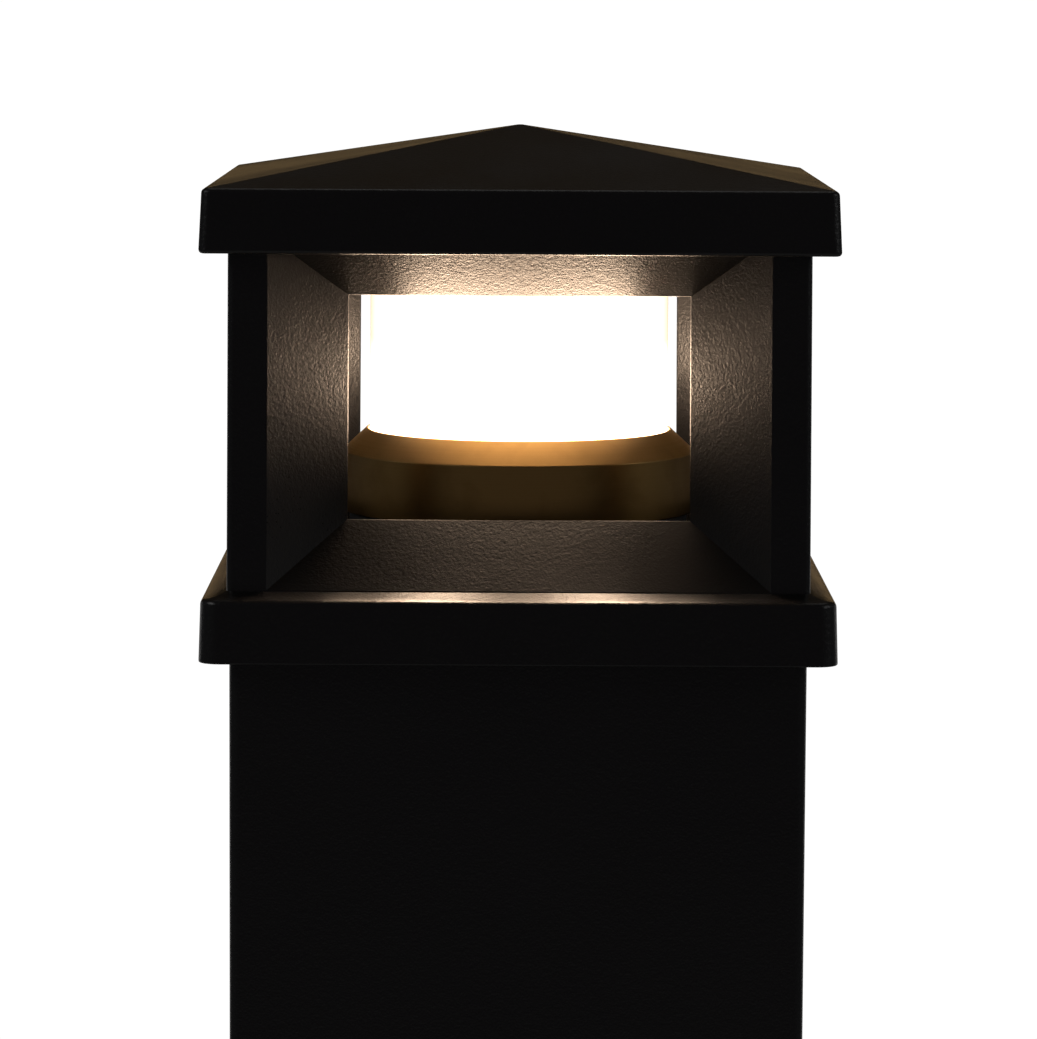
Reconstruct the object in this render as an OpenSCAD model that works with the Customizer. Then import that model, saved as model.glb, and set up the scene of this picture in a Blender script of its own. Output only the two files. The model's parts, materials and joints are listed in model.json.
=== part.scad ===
// Square bollard light. A tube post stands on a cast anchor base. A collar closes the post and
// carries a lantern frame with four bevelled windows round an opal lens, under a pyramid roof cap.
// The origin is the centre of the foot, +Z is up and each window faces along an axis.

/* [Overall] */
// Height from the ground to the roof's apex
total_h = 762; // [560:1:1100]
// Outside width of the square post
post_w = 150; // [125:1:190]

/* [Post] */
// Wall of the post's tube
post_wall = 4; // [3:0.1:6]
// Radius of the post's upright corners
post_corner_r = 3; // [1:0.5:5]

/* [Anchor base] */
// Thickness of the flange that the post stands on
flange_t = 3; // [2:0.5:6]
// Thickness of the floor that the anchor bolts clamp
floor_t = 10; // [6:1:16]
// Height of the anchor base's walls above the ground
tray_h = 45; // [36:1:80]
// Thickness of the anchor base's walls
tray_wall = 6; // [4:0.5:9]
// Distance between neighbouring anchor holes
anchor_pitch = 80; // [66:1:96]
// Diameter of each anchor hole
anchor_hole_d = 12; // [8:0.1:16]
// Diameter of the hole that the supply cables come up through
wireway_d = 50; // [30:0.1:60]

/* [Collar] */
// How far the collar's upper edge stands out from the post
collar_over = 7.2; // [5:0.1:15]
// How much wider each side of the collar is at its lower edge
collar_draft = 0.5; // [0:0.1:2]
// Height of the collar's skirt
collar_h = 16.3; // [13:0.1:28]
// Rise of the ledge from the collar's edge to the lantern
ledge_rise = 1.9; // [0.5:0.1:3]
// Radius of the collar's upright corners
collar_corner_r = 5.5; // [2:0.1:7]
// Thickness of the deck that closes the post
deck_t = 6; // [5:0.1:10]
// Depth of the spigot that fits in the post
spigot_h = 30; // [20:1:60]
// Wall of the spigot
spigot_wall = 5; // [3:0.1:8]

/* [Lantern frame] */
// Height of the lantern frame
frame_h = 97.2; // [80:0.1:140]
// How far the frame stands out from the post
frame_proud = 0.6; // [0:0.1:3]
// Width of each stile beside a window
stile_w = 10.3; // [6:0.1:14]
// Height of the rail under each window
sill_lift = 0.2; // [0.2:0.1:6]
// Height of the rail over each window
head_rail = 5.4; // [5:0.1:9]
// Depth of the bevelled reveals
reveal_depth = 21.6; // [16:0.1:27]
// How far a side reveal closes in over that depth
side_splay = 20.9; // [14:0.1:26]
// How far the sill and the top reveal close in over that depth
sill_splay = 16.7; // [8:0.1:21]

/* [Lens] */
// Gap between the lens ring and the frame
ring_gap = 6; // [4:0.1:9]
// Width of the ring's conical rim
ring_rim = 7.5; // [5:0.1:10]
// Height of the conical rim
cone_h = 6.1; // [3:0.1:9]
// Height of the ring's top above the deck
ring_top_h = 36.1; // [30:0.1:45]
// Wall of the opal lens tube
lens_wall = 3; // [2:0.1:5]
// Thickness of the lens and cap gaskets
gasket_t = 2; // [1:0.1:3]

/* [Light source] */
// Width of the square column that carries the LED boards
column_w = 22; // [20:0.1:26]
// Thickness of each LED board
board_t = 1.6; // [1:0.1:3]
// Number of LEDs on each board
leds_per_board = 6; // [3:1:8]
// Number of fins on the heat sink
fin_count = 16; // [12:4:24]
// Height of the heat sink
sink_h = 14; // [12:0.1:17]

/* [Roof cap] */
// How far the skirt's lower edge stands out from the post
cap_over = 7.4; // [6:0.1:15]
// How much narrower each side of the skirt is at the eave
cap_draft = 0.8; // [0:0.1:1.5]
// Height of the skirt
skirt_h = 16.5; // [13:0.1:28]
// Rise of the roof from the eave to the apex
roof_rise = 14.6; // [12:0.1:40]
// Wall of the cap
cap_wall = 4; // [3:0.1:5]
// How far the skirt laps the frame
cap_lap = 9.6; // [7:0.1:12]
// Radius of the cap's upright corners
cap_corner_r = 2.5; // [1:0.1:3]

/* [Driver] */
// Width of the LED driver
driver_w = 60; // [40:1:74]
// Depth of the LED driver
driver_d = 34; // [20:1:44]
// Length of the LED driver
driver_h = 130; // [80:1:170]

/* [Fits] */
// Gap on each side between parts that slide over each other
slip_gap = 0.3; // [0.1:0.05:0.5]
// Gap between a set screw's tip and the face that it bears on
seat_gap = 0.1; // [0.05:0.05:0.2]
// Gap between a screw or lead and its own hole
hole_gap = 0.05; // [0.02:0.01:0.1]

/* [Hidden] */
$fn = 64;
post_half = post_w / 2;
post_in_half = post_half - post_wall;
plug_half = post_in_half - slip_gap;
plug_corner_r = 2;
tray_in_half = plug_half - tray_wall;
tray_corner_r = 4;

// Heights, worked down from the apex.
eave_z = total_h - roof_rise;
cap_z = eave_z - skirt_h;
frame_top = cap_z + cap_lap;
deck_z = frame_top - frame_h;
deck_under = deck_z - deck_t;
ledge_z = deck_z - ledge_rise;
collar_z = ledge_z - collar_h;
spigot_z = deck_under - spigot_h;

// Collar and lantern frame, as half widths.
collar_half = post_half + collar_over;
spigot_in_half = plug_half - spigot_wall;
frame_half = post_half + frame_proud;
frame_corner_r = 2;
window_half = frame_half - stile_w;
opening_half = window_half - side_splay;
well_half = frame_half - reveal_depth;
window_z = deck_z + sill_lift;
window_top = frame_top - head_rail;

// Lens stack, from the deck up.
ring_r = well_half - ring_gap;
lens_r = ring_r - ring_rim;
lens_slip = 0.5;
rim_flat = 0.5;
sink_top = deck_z + sink_h;
sink_flange_t = 4;
sink_r = ring_r - 2;
core_r = 20;
core_cavity_r = 14;
fin_t = 2;
web_t = 4;
web_top = sink_top + web_t;
ring_top = deck_z + ring_top_h;
lens_z = web_top + gasket_t;
cover_lip = 3.5;
cover_t = 6;
cover_shoulder_h = 4;
cover_head_room = 4.5;
cover_top = frame_top - cover_head_room;
cover_z = cover_top - cover_t;
lens_top = cover_z - gasket_t;
column_top = cover_z - cover_shoulder_h;
column_bore_r = 8.5;
board_w = column_w - 4;
board_z = web_top + 9.5;
board_top = column_top - 3;
led_w = 5;
led_t = 1.2;
led_z = ring_top + 5;
led_pitch = (board_top - 5 - led_z) / (leds_per_board - 1);

// Tie rod, M6, with its nuts and washer.
rod_r = 3;
nut_h = 5;
nut_flat = 10;
washer_r = 8;
washer_t = 1.5;
rod_z = sink_top - sink_flange_t - nut_h - 1;
rod_top = cover_top + washer_t + nut_h + 3.5;

// Roof cap.
cap_half = post_half + cap_over;
eave_half = cap_half - cap_draft;
cap_in_half = eave_half - cap_wall;
roof_slope = roof_rise / eave_half;
roof_t = cap_wall / cos(atan(roof_slope));
seat_out_half = frame_half - 2.6;
seat_w = 6;

// Set screws: radius, height, and place along the side.
cap_screw_r = 2;
cap_screw_z = frame_top - head_rail / 2;
cap_screw_y = frame_half * 0.6;
cap_boss_r = 5;
collar_screw_r = 3;
collar_screw_z = collar_z + 7;
collar_screw_y = post_half * 0.6;
base_screw_r = 4;
base_screw_z = floor_t + 14;
base_screw_y = post_half * 0.53;
screw_recess = 0.4;

// Screws that come up through the deck.
frame_screw_r = 3;
frame_head_r = 5;
frame_head_h = 3.5;
frame_screw_c = spigot_in_half - frame_head_r - 0.9;
frame_screw_bite = 14;
sink_screw_r = 2;
sink_head_r = 4;
sink_head_h = 3;
sink_boss_r = 5;
sink_screw_c = (sink_r - 10) * sqrt(0.5);
sink_screw_bite = sink_h - sink_flange_t;
deck_hole_slack = 0.3;

// Driver bracket and what hangs on it.
bracket_t = 2.5;
bracket_y = sink_screw_c + sink_head_r + 4.5;
bracket_back = bracket_y + bracket_t;
bracket_half = driver_w / 2 + 10;
bracket_lip = 17.5;
bracket_screw_r = 2;
bracket_screw_x = 28;
bracket_screw_y = bracket_back + 8;
bracket_screw_bite = deck_t - 1.5;
driver_top = deck_under - 24;
driver_z = driver_top - driver_h;
driver_y = bracket_y - driver_d / 2;
ear_w = 20;
ear_h = 10;
ear_t = 3;
driver_screw_r = 2;
bracket_z = driver_z - ear_h - 3;
block_w = 60;
block_d = 20;
block_h = 32;
block_top = driver_top - 10.5;
block_y = bracket_back + block_d / 2;
surge_w = 34;
surge_d = 22;
surge_h = 40;
surge_top = block_top - block_h - 25;
surge_y = bracket_back + surge_d / 2;

// Leads.
lead_r = 1;
mains_r = 1.3;
lead_x = 7;
mains_x = 20;
mains_z = deck_under - 11.5;
surge_lead_x = 8;
grommet_r = 11;
grommet_lip = 2;
grommet_lip_t = 1.5;
lead_sides = 8;
lead_steps = 5;
lead_ref = [0.3, 0.93, 0.2];

// Earth studs.
stud_r = 3;
stud_head_flat = 10;
stud_head_h = 4;
stud_bite = 6;
tray_stud_y = tray_in_half - 9;

black = [0.05, 0.05, 0.05];
steel = [0.72, 0.73, 0.74];
alloy = [0.66, 0.67, 0.69];
brass = [0.78, 0.56, 0.30];
rubber = [0.12, 0.12, 0.13];

// ---- Shared shapes ----

// A square with rounded corners, centred on the axis.
module rounded_square(half, r) {
    square([2 * (half - r), 2 * half], center = true);
    square([2 * half, 2 * (half - r)], center = true);
    for (x = [-1, 1], y = [-1, 1])
        translate([x * (half - r), y * (half - r)]) circle(r);
}

// An upright prism on a rounded square, from one height to another.
module prism(half, r, z_low, z_high) {
    translate([0, 0, z_low]) linear_extrude(z_high - z_low) rounded_square(half, r);
}

// The right-hand outline of a section, given as [half width, height], with its mirror image.
function both_sides(side) = concat(
    side,
    [for (i = [len(side) - 1 : -1 : 0]) if (side[i][0] > 0) [-side[i][0], side[i][1]]]
);

// A solid that is square at every height, with the same section from the front and the side.
module four_sided(side) {
    span = 4 * post_w;
    intersection() {
        rotate([90, 0, 0]) linear_extrude(span, center = true) polygon(both_sides(side));
        rotate([90, 0, 90]) linear_extrude(span, center = true) polygon(both_sides(side));
    }
}

// A ring of rectangular section round the axis.
module washer(r_out, r_in, z_low, z_high) {
    translate([0, 0, z_low]) linear_extrude(z_high - z_low) difference() {
        circle(r_out);
        circle(r_in);
    }
}

// A hexagonal prism with two flats facing along X.
module hexagon(flat, h) {
    rotate([0, 0, 30]) cylinder(r = flat / sqrt(3), h = h, $fn = 6);
}

// One child in each corner of a square.
module at_corners(c) {
    for (x = [-1, 1], y = [-1, 1])
        translate([x * c, y * c, 0]) children();
}

// Pairs of children on the +X and -X sides, with their own Z pointing outwards.
module at_sides(y, z) {
    for (turn = [0, 180], s = [-1, 1])
        rotate([0, 0, turn]) translate([0, s * y, z]) rotate([0, 90, 0]) children();
}

// A headless socket screw along Z, between two heights.
module set_screw(r, tip, top) {
    translate([0, 0, tip]) difference() {
        cylinder(r = r, h = top - tip);
        translate([0, 0, (top - tip) / 2]) hexagon(r, top - tip);
    }
}

// A socket-head screw that points up from the face under its head.
module cap_screw(r, length, head_r, head_h) {
    cylinder(r = r, h = length);
    translate([0, 0, -head_h]) difference() {
        cylinder(r = head_r, h = head_h);
        translate([0, 0, -1]) hexagon(r * 1.5, head_h / 2 + 1);
    }
}

// ---- Leads ----

function unit(v) = v / norm(v);

// A point between b and c on a smooth curve through a, b, c and d.
function between(a, b, c, d, t) = 0.5 * (2 * b + (c - a) * t + (2 * a - 5 * b + 4 * c - d) * t * t
    + (3 * b - a - 3 * c + d) * t * t * t);

function smooth(p, n) = concat(
    [for (i = [0 : len(p) - 2], k = [0 : n - 1])
        between(p[max(i - 1, 0)], p[i], p[i + 1], p[min(i + 2, len(p) - 1)], k / n)],
    [p[len(p) - 1]]
);

// A round lead of radius r along a route.
module lead(route, r) {
    path = smooth(route, lead_steps);
    last = len(path) - 1;
    rings = [for (i = [0 : last])
        let (t = unit(path[min(i + 1, last)] - path[max(i - 1, 0)]),
             u = unit(cross(t, lead_ref)),
             v = cross(t, u))
        [for (k = [0 : lead_sides - 1])
            path[i] + r * (cos(k * 360 / lead_sides) * u + sin(k * 360 / lead_sides) * v)]];
    walls = [for (i = [0 : last - 1], k = [0 : lead_sides - 1])
        let (a = i * lead_sides + k, b = i * lead_sides + (k + 1) % lead_sides)
        each [[a, a + lead_sides, b], [b, a + lead_sides, b + lead_sides]]];
    ends = [
        [for (k = [0 : lead_sides - 1]) k],
        [for (k = [lead_sides - 1 : -1 : 0]) last * lead_sides + k]
    ];
    polyhedron(points = [for (ring = rings) each ring], faces = concat(walls, ends));
}

// ---- Anchor base ----

module anchor_base() {
    color(black) difference() {
        union() {
            prism(post_half, post_corner_r, 0, flange_t);
            prism(plug_half, plug_corner_r, 0, tray_h);
        }
        prism(tray_in_half, tray_corner_r, floor_t, tray_h + 1);
        at_corners(anchor_pitch / 2) translate([0, 0, -1]) cylinder(d = anchor_hole_d, h = floor_t + 2);
        translate([0, 0, -1]) cylinder(d = wireway_d, h = floor_t + 2);
        translate([0, tray_stud_y, floor_t - stud_bite - 0.5])
            cylinder(r = stud_r + hole_gap, h = stud_bite + 1);
    }
}

module earth_stud() {
    color(brass) translate([0, tray_stud_y, floor_t]) {
        translate([0, 0, -stud_bite]) cylinder(r = stud_r, h = stud_bite + washer_t + stud_head_h);
        translate([0, 0, washer_t]) hexagon(stud_head_flat, stud_head_h);
        cylinder(r = stud_head_flat * 0.6, h = washer_t);
    }
}

// ---- Post ----

module post() {
    color(black) difference() {
        prism(post_half, post_corner_r, flange_t, deck_under);
        prism(post_in_half, 1, flange_t - 1, deck_under + 1);
        at_sides(base_screw_y, base_screw_z) cylinder(r = base_screw_r + hole_gap, h = post_w);
    }
}

module base_screws() {
    color(steel) at_sides(base_screw_y, base_screw_z)
        set_screw(base_screw_r, plug_half + seat_gap, post_half - screw_recess);
}

// ---- Collar ----

module collar() {
    outline = [
        [collar_half + collar_draft, collar_z],
        [collar_half, ledge_z],
        [frame_half, deck_z]
    ];
    color(black) difference() {
        union() {
            intersection() {
                four_sided(outline);
                prism(collar_half + collar_draft, collar_corner_r, collar_z, deck_z);
            }
            prism(plug_half, plug_corner_r, spigot_z, deck_z - deck_t / 2);
        }
        difference() {
            prism(post_half + slip_gap, post_corner_r, collar_z - 1, deck_under);
            prism(plug_half, plug_corner_r, spigot_z - 1, deck_under + 1);
        }
        prism(spigot_in_half, tray_corner_r, spigot_z - 1, deck_under);
        translate([0, 0, deck_under - 1]) cylinder(r = grommet_r, h = deck_t + 2);
        at_corners(frame_screw_c) translate([0, 0, deck_under - 1])
            cylinder(r = frame_screw_r + deck_hole_slack, h = deck_t + 2);
        at_corners(sink_screw_c) translate([0, 0, deck_under - 1])
            cylinder(r = sink_screw_r + deck_hole_slack, h = deck_t + 2);
        bracket_fixings() translate([0, 0, deck_under - 1])
            cylinder(r = bracket_screw_r + hole_gap, h = bracket_screw_bite + 1.5);
        at_sides(collar_screw_y, collar_screw_z) translate([0, 0, post_half])
            cylinder(r = collar_screw_r + hole_gap, h = post_half);
    }
}

module collar_screws() {
    color(steel) at_sides(collar_screw_y, collar_screw_z)
        set_screw(collar_screw_r, post_half + seat_gap, collar_half - screw_recess);
}

// ---- Lantern frame ----

// What one window takes out of the frame's front: a tunnel that narrows from face to well.
module window_cut() {
    over = 2;
    side_step = side_splay / reveal_depth * over;
    sill_step = sill_splay / reveal_depth * over;
    front = -frame_half - over;
    back = -well_half + over;
    rise = sill_splay + sill_step;
    intersection() {
        translate([0, 0, deck_z]) linear_extrude(frame_h) polygon([
            [-window_half - side_step, front],
            [window_half + side_step, front],
            [opening_half - side_step, back],
            [-opening_half + side_step, back]
        ]);
        rotate([90, 0, 90]) linear_extrude(post_w, center = true) polygon([
            [front, window_z - sill_step],
            [back, window_z + rise],
            [back, window_top - rise],
            [front, window_top + sill_step]
        ]);
    }
}

// The square well inside the frame, with the corners that the posts' noses fill cut off.
module well() {
    translate([0, 0, deck_z - 1]) linear_extrude(frame_h + 2) intersection() {
        square(2 * well_half, center = true);
        rotate([0, 0, 45]) square((well_half + opening_half) * sqrt(2), center = true);
    }
}

module lantern_frame() {
    color(black) difference() {
        prism(frame_half, frame_corner_r, deck_z, frame_top);
        well();
        for (turn = [0 : 90 : 270])
            rotate([0, 0, turn]) window_cut();
        at_corners(frame_screw_c) translate([0, 0, deck_z - 1])
            cylinder(r = frame_screw_r + hole_gap, h = frame_screw_bite + 2);
    }
}

module frame_screws() {
    color(steel) at_corners(frame_screw_c) translate([0, 0, deck_under])
        cap_screw(frame_screw_r, deck_t + frame_screw_bite, frame_head_r, frame_head_h);
}

module cap_gasket() {
    color(rubber) difference() {
        prism(seat_out_half, cap_corner_r, frame_top, frame_top + gasket_t);
        prism(seat_out_half - seat_w, cap_corner_r, frame_top - 1, frame_top + gasket_t + 1);
    }
}

// ---- Lens ----

module heat_sink() {
    color(alloy) difference() {
        union() {
            translate([0, 0, sink_top - sink_flange_t]) cylinder(r = sink_r, h = sink_flange_t);
            translate([0, 0, deck_z]) cylinder(r = core_r, h = sink_h);
            at_corners(sink_screw_c) translate([0, 0, deck_z]) cylinder(r = sink_boss_r, h = sink_h);
            for (i = [0 : fin_count - 1])
                rotate([0, 0, i * 360 / fin_count]) translate([core_r - 1, -fin_t / 2, deck_z])
                    cube([sink_r - core_r, fin_t, sink_h - 1]);
        }
        translate([0, 0, deck_z - 1]) cylinder(r = core_cavity_r, h = sink_h - sink_flange_t + 1);
        translate([0, 0, deck_z]) cylinder(r = rod_r + hole_gap, h = sink_h + 1);
        for (side = [-1, 1])
            translate([side * lead_x, 0, deck_z]) cylinder(r = lead_r + hole_gap, h = sink_h + 1);
        at_corners(sink_screw_c) translate([0, 0, deck_z - 1])
            cylinder(r = sink_screw_r + hole_gap, h = sink_screw_bite + 2);
    }
}

module heat_sink_screws() {
    color(steel) at_corners(sink_screw_c) translate([0, 0, deck_under])
        cap_screw(sink_screw_r, deck_t + sink_screw_bite, sink_head_r, sink_head_h);
}

module lens_ring() {
    bore_r = lens_r + lens_slip;
    web_r = column_w * sqrt(0.5) + 1;
    color(brass) rotate_extrude() polygon([
        [web_r, sink_top],
        [ring_r, sink_top],
        [ring_r, ring_top - cone_h],
        [bore_r + rim_flat, ring_top],
        [bore_r, ring_top],
        [bore_r, web_top],
        [web_r, web_top]
    ]);
}

module lower_gasket() {
    color(rubber) washer(lens_r, lens_r - lens_wall - 2, web_top, lens_z);
}

module lens_tube() {
    color("white") washer(lens_r, lens_r - lens_wall, lens_z, lens_top);
}

module upper_gasket() {
    color(rubber) washer(lens_r, lens_r - lens_wall, lens_top, cover_z);
}

module lens_cover() {
    color(alloy) difference() {
        union() {
            translate([0, 0, cover_z]) cylinder(r = lens_r + cover_lip, h = cover_t);
            translate([0, 0, column_top])
                cylinder(r = lens_r - lens_wall - lens_slip, h = cover_shoulder_h + 1);
            washer(lens_r + cover_lip, lens_r + lens_slip, column_top, cover_z + 1);
        }
        translate([0, 0, column_top - 1]) cylinder(r = rod_r + hole_gap, h = cover_top - column_top + 2);
    }
}

module tie_rod() {
    color(steel) translate([0, 0, rod_z]) cylinder(r = rod_r, h = rod_top - rod_z);
}

module tie_nuts() {
    for (z = [sink_top - sink_flange_t - nut_h, cover_top + washer_t])
        color(steel) translate([0, 0, z]) difference() {
            hexagon(nut_flat, nut_h);
            translate([0, 0, -1]) cylinder(r = rod_r + hole_gap, h = nut_h + 2);
        }
}

module tie_washer() {
    color(steel) washer(washer_r, rod_r + hole_gap, cover_top, cover_top + washer_t);
}

// ---- Light source ----

module led_column() {
    slot_w = 2 * lead_r + 1;
    color(alloy) difference() {
        translate([0, 0, sink_top]) linear_extrude(column_top - sink_top) difference() {
            square(column_w, center = true);
            circle(column_bore_r);
        }
        translate([0, 0, (web_top + board_z) / 2])
            cube([column_w + 2, slot_w, board_z - web_top], center = true);
    }
}

// One child on each face of the column, with its own X pointing outwards.
module on_column_faces() {
    for (turn = [0 : 90 : 270])
        rotate([0, 0, turn]) translate([column_w / 2, 0, 0]) children();
}

module led_boards() {
    color("white") on_column_faces() translate([0, -board_w / 2, board_z])
        cube([board_t, board_w, board_top - board_z]);
}

module led_chips() {
    color("gold") on_column_faces()
        for (i = [0 : leds_per_board - 1])
            translate([board_t + led_t / 2, 0, led_z + i * led_pitch])
                cube([led_t, led_w, min(led_w, led_pitch - 1)], center = true);
}

// ---- Wiring ----

module wire_grommet() {
    color(rubber) difference() {
        union() {
            translate([0, 0, deck_under]) cylinder(r = grommet_r, h = deck_t);
            for (z = [deck_under - grommet_lip_t, deck_z])
                translate([0, 0, z]) cylinder(r = grommet_r + grommet_lip, h = grommet_lip_t);
        }
        for (side = [-1, 1])
            translate([side * lead_x, 0, deck_under - grommet_lip_t - 1])
                cylinder(r = lead_r + hole_gap, h = deck_t + 2 * grommet_lip_t + 2);
    }
}

module led_leads() {
    board_foot = column_w / 2 + board_t / 2;
    color("crimson") for (side = [-1, 1])
        lead([
            [side * lead_x, driver_y, driver_top + hole_gap],
            [side * lead_x, driver_y, driver_top + 2],
            [side * lead_x, driver_y, driver_top + 5],
            [side * lead_x, driver_y / 2, driver_top + 11],
            [side * lead_x, 0, driver_top + 17],
            [side * lead_x, 0, driver_top + 22],
            [side * lead_x, 0, deck_z + 2],
            [side * lead_x, 0, sink_top],
            [side * lead_x, 0, web_top],
            [side * (lead_x + board_foot) / 2, 0, (web_top + board_z) / 2],
            [side * board_foot, 0, board_z - 3],
            [side * board_foot, 0, board_z - 1.5],
            [side * board_foot, 0, board_z - hole_gap]
        ], lead_r);
}

module mains_leads() {
    color("royalblue") {
        for (side = [-1, 1])
            lead([
                [side * mains_x, driver_y, driver_top + hole_gap],
                [side * mains_x, driver_y, driver_top + 2],
                [side * mains_x, driver_y, driver_top + 5],
                [side * mains_x, (driver_y + bracket_y) / 2, mains_z - 2],
                [side * mains_x, bracket_y + bracket_t / 2, mains_z],
                [side * mains_x, block_y - 2, mains_z - 3],
                [side * mains_x, block_y, mains_z - 9],
                [side * mains_x, block_y, block_top + 6],
                [side * mains_x, block_y, block_top + hole_gap]
            ], mains_r);
        for (side = [-1, 1])
            translate([side * surge_lead_x, surge_y, surge_top])
                cylinder(r = mains_r, h = block_top - block_h - surge_top);
        translate([0, bracket_screw_y, block_top])
            cylinder(r = mains_r, h = deck_under - bracket_t - stud_head_h - block_top);
    }
}

// ---- Driver bracket ----

// One child at each screw that fixes the bracket, the middle one being the earth screw.
module bracket_fixings() {
    for (x = [-bracket_screw_x, 0, bracket_screw_x])
        translate([x, bracket_screw_y, 0]) children();
}

// One child at each of the driver's two ears, with its own Z pointing to the bracket.
module at_ears() {
    for (z = [driver_z - ear_h / 2, driver_top + ear_h / 2])
        translate([0, bracket_y - ear_t, z]) rotate([-90, 0, 0]) children();
}

module driver_bracket() {
    color(alloy) difference() {
        union() {
            translate([-bracket_half, bracket_y, bracket_z])
                cube([2 * bracket_half, bracket_t, deck_under - bracket_z]);
            translate([-bracket_half, bracket_y, deck_under - bracket_t])
                cube([2 * bracket_half, bracket_t + bracket_lip, bracket_t]);
        }
        bracket_fixings() translate([0, 0, deck_under - bracket_t - 1])
            cylinder(r = bracket_screw_r + hole_gap, h = bracket_t + 2);
        at_ears() cylinder(r = driver_screw_r + hole_gap, h = ear_t + bracket_t + 1);
        for (side = [-1, 1])
            translate([side * mains_x, bracket_y - 1, mains_z]) rotate([-90, 0, 0])
                cylinder(r = mains_r + 1.5, h = bracket_t + 2);
    }
}

module bracket_screws() {
    color(steel) bracket_fixings() translate([0, 0, deck_under - bracket_t])
        cap_screw(bracket_screw_r, bracket_t + bracket_screw_bite, sink_head_r, stud_head_h);
}

module led_driver() {
    color("silver") difference() {
        union() {
            translate([-driver_w / 2, bracket_y - driver_d, driver_z]) cube([driver_w, driver_d, driver_h]);
            translate([-ear_w / 2, bracket_y - ear_t, driver_z - ear_h])
                cube([ear_w, ear_t, driver_h + 2 * ear_h]);
        }
        at_ears() translate([0, 0, -1]) cylinder(r = driver_screw_r + hole_gap, h = ear_t + 2);
    }
}

module driver_screws() {
    color(steel) at_ears() cap_screw(driver_screw_r, ear_t + bracket_t + 2, sink_head_r, sink_head_h);
}

module terminal_block() {
    pole_pitch = block_w / 4;
    color("ivory") difference() {
        translate([-block_w / 2, bracket_back, block_top - block_h]) cube([block_w, block_d, block_h]);
        for (i = [-1.5 : 1 : 1.5], z = [0.25, 0.75])
            translate([i * pole_pitch, bracket_back + block_d - 5, block_top - block_h * z])
                rotate([-90, 0, 0]) cylinder(r = 2.5, h = 6);
    }
}

module surge_protector() {
    color("firebrick") translate([-surge_w / 2, bracket_back, surge_top - surge_h]) difference() {
        cube([surge_w, surge_d, surge_h]);
        for (z = [8 : 8 : surge_h - 8])
            translate([-1, surge_d - 1, z]) cube([surge_w + 2, 2, 2]);
    }
}

// ---- Roof cap ----

module roof_cap() {
    outline = [[cap_half, cap_z], [eave_half, eave_z], [0, total_h]];
    hollow = [
        [cap_in_half, cap_z - 1],
        [cap_in_half, total_h - roof_t - roof_slope * cap_in_half],
        [0, total_h - roof_t]
    ];
    color(black) difference() {
        union() {
            difference() {
                four_sided(outline);
                four_sided(hollow);
            }
            intersection() {
                four_sided(outline);
                difference() {
                    prism(seat_out_half, cap_corner_r, frame_top + gasket_t, total_h);
                    prism(seat_out_half - seat_w, cap_corner_r, frame_top, total_h + 1);
                }
            }
            at_sides(cap_screw_y, cap_screw_z) translate([0, 0, frame_half + slip_gap])
                cylinder(r = cap_boss_r, h = eave_half - frame_half - slip_gap - 1);
        }
        difference() {
            prism(cap_half + 1, 0.5, cap_z - 1, total_h + 1);
            prism(cap_half, cap_corner_r, cap_z - 2, total_h + 2);
        }
        at_sides(cap_screw_y, cap_screw_z) cylinder(r = cap_screw_r + hole_gap, h = cap_half + 1);
    }
}

module cap_screws() {
    color(steel) at_sides(cap_screw_y, cap_screw_z)
        set_screw(cap_screw_r, frame_half + seat_gap, eave_half - screw_recess);
}

anchor_base();
earth_stud();
post();
base_screws();
collar();
collar_screws();
lantern_frame();
frame_screws();
cap_gasket();
heat_sink();
heat_sink_screws();
lens_ring();
lower_gasket();
lens_tube();
upper_gasket();
lens_cover();
tie_rod();
tie_nuts();
tie_washer();
led_column();
led_boards();
led_chips();
wire_grommet();
led_leads();
mains_leads();
driver_bracket();
bracket_screws();
led_driver();
driver_screws();
terminal_block();
surge_protector();
roof_cap();
cap_screws();
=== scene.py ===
"""A square bollard light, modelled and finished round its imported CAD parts.

The roof cap, lantern frame, collar, post, lens and its ring are new pieces that stand for their CAD
solids. The gear inside keeps its CAD shape with softened edges. All lengths are in metres.
"""

import json
import logging
import math
from contextlib import contextmanager
from dataclasses import dataclass
from enum import Enum
from typing import Any, Callable, Iterator, Optional, Sequence

import bmesh
import bpy
from mathutils import Matrix, Vector


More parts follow.
